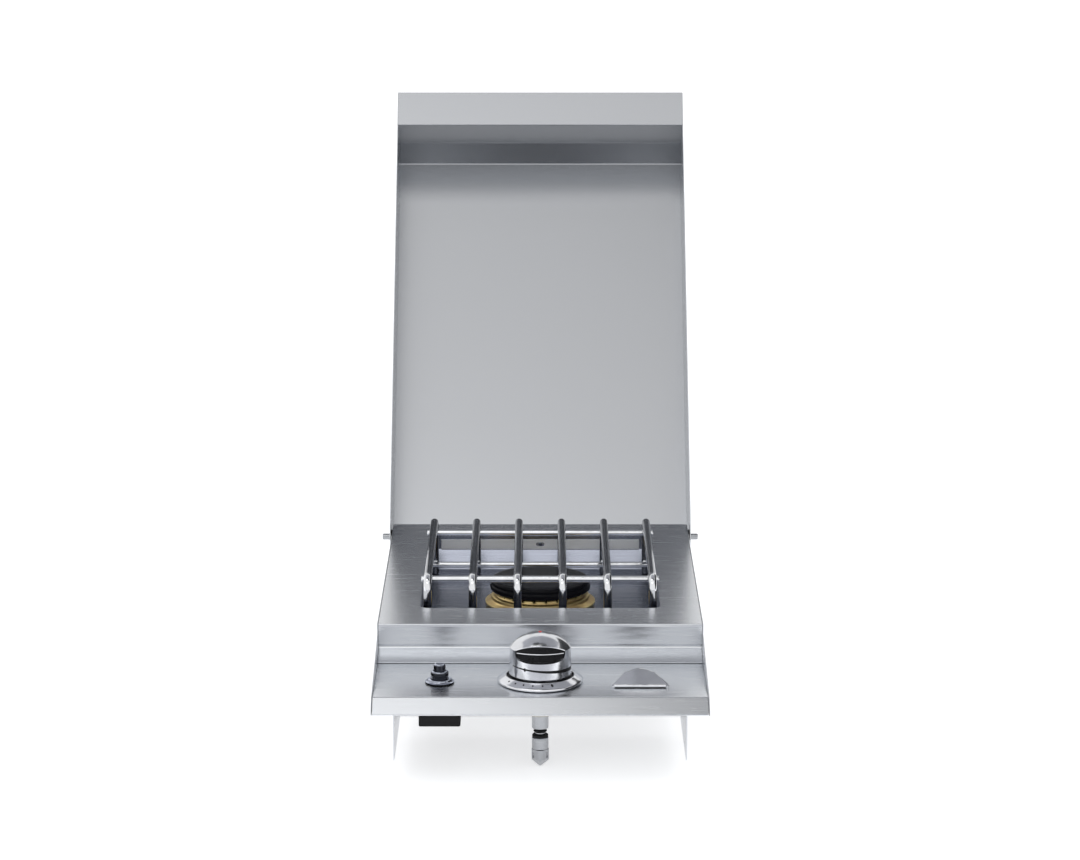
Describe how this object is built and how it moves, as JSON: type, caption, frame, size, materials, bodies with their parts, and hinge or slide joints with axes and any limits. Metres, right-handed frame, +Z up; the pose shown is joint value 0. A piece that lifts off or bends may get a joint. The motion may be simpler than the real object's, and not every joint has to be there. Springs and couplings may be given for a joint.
{
  "type": "built in side burner",
  "caption": "Drop-in gas side burner: sheet body with a stepped console, a wire grate over a capped brass burner in a well, a push-turn knob, a push igniter and a hinged sheet lid.",
  "frame": {"origin": "on the counter top, at the middle of the front return flange's underside", "axes": "+X to the right as the user faces the console, +Y from the user towards the lid's hinge, +Z up from the counter"},
  "size_m": [0.3546, 0.905, 0.5785],
  "materials": {
    "brushed_sheet": "brushed stainless sheet, grain along the folds",
    "plain_steel": "plain galvanised or zinc plated steel",
    "chrome": "polished chrome plate",
    "brass": "turned brass, lightly oxidised",
    "enamel": "gloss black enamel on a cast cap",
    "black_plastic": "black moulded plastic",
    "rubber": "black seal rubber",
    "ceramic": "glazed white ceramic",
    "aluminium": "cast aluminium tube",
    "lead_cover": "red silicone cover"
  },
  "bodies": {
    "housing": {"deck_sheet": "brushed_sheet", "console_sheet": "brushed_sheet", "rear_wall": "brushed_sheet", "front_bulkhead": "plain_steel", "box_rear_panel": "plain_steel", "box_bottom": "plain_steel", "burner_pan": "brushed_sheet", "pan_strip": "brushed_sheet", "strip_screw": "plain_steel", "badge_plate": "chrome", "left_side_wall": "brushed_sheet", "right_side_wall": "brushed_sheet", "left_box_plate": "brushed_sheet", "right_box_plate": "brushed_sheet", "left_hinge_pin": "chrome", "right_hinge_pin": "chrome", "left_hinge_washer": "black_plastic", "right_hinge_washer": "black_plastic", "left_hinge_nut": "plain_steel", "right_hinge_nut": "plain_steel", "left_valve_screw": "plain_steel", "right_valve_screw": "plain_steel", "burner_base": "brass", "mixing_tube": "aluminium", "tube_bracket": "plain_steel", "spark_ceramic": "ceramic", "spark_tip": "plain_steel", "ignition_lead": "lead_cover", "valve_body": "brass", "stem_spring": "plain_steel", "injector": "brass", "inlet_union": "chrome", "upper_seal": "rubber", "swivel_neck": "chrome", "lower_seal": "rubber", "inlet_collar": "chrome", "inlet_nozzle": "chrome", "knob_bezel": "chrome", "knob_seal": "black_plastic", "igniter_barrel": "chrome", "igniter_ring": "chrome", "igniter_spring": "plain_steel", "spark_module": "black_plastic"},
    "lid": {"lid_sheet": "brushed_sheet", "left_lid_cheek": "brushed_sheet", "right_lid_cheek": "brushed_sheet"},
    "grate": {"grate": "chrome"},
    "burner_cap": {"burner_cap": "enamel"},
    "air_shutter": {"air_shutter": "plain_steel"},
    "valve_rotor": {"valve_rotor": "brass"},
    "knob": {"knob": "chrome", "knob_front_grip": "black_plastic", "knob_rear_grip": "black_plastic", "valve_stem": "plain_steel"},
    "igniter_button": {"igniter_button": "chrome"}
  },
  "joints": [
    {"name": "lid_hinge", "type": "hinge", "parent": "housing", "child": "lid", "pos_m": [0, 0.5315, 0.0428], "axis": [1, 0, 0], "range_deg": [0, 128]},
    {"name": "grate_lift", "type": "slide", "parent": "housing", "child": "grate", "axis": [0, 0, 1], "range_m": [0, 0.025]},
    {"name": "cap_lift", "type": "slide", "parent": "housing", "child": "burner_cap", "axis": [0, 0, 1], "range_m": [0, 0.012]},
    {"name": "air_shutter_turn", "type": "hinge", "parent": "housing", "child": "air_shutter", "pos_m": [0, 0.13, -0.012], "axis": [0, 1, 0], "range_deg": [0, 45]},
    {"name": "valve_turn", "type": "hinge", "parent": "housing", "child": "valve_rotor", "pos_m": [0, 0.0623, 0], "axis": [0, 0, 1], "range_deg": [0, 180]},
    {"name": "knob_push", "type": "slide", "parent": "valve_rotor", "child": "knob", "axis": [0, 0, -1], "range_m": [0, 0.003], "stiffness_N_per_m": 1500, "springref_m": -0.004, "deforming": ["stem_spring"]},
    {"name": "igniter_push", "type": "slide", "parent": "housing", "child": "igniter_button", "axis": [0, 0, -1], "range_m": [0, 0.004], "stiffness_N_per_m": 800, "springref_m": -0.002, "deforming": ["igniter_spring"]}
  ]
}
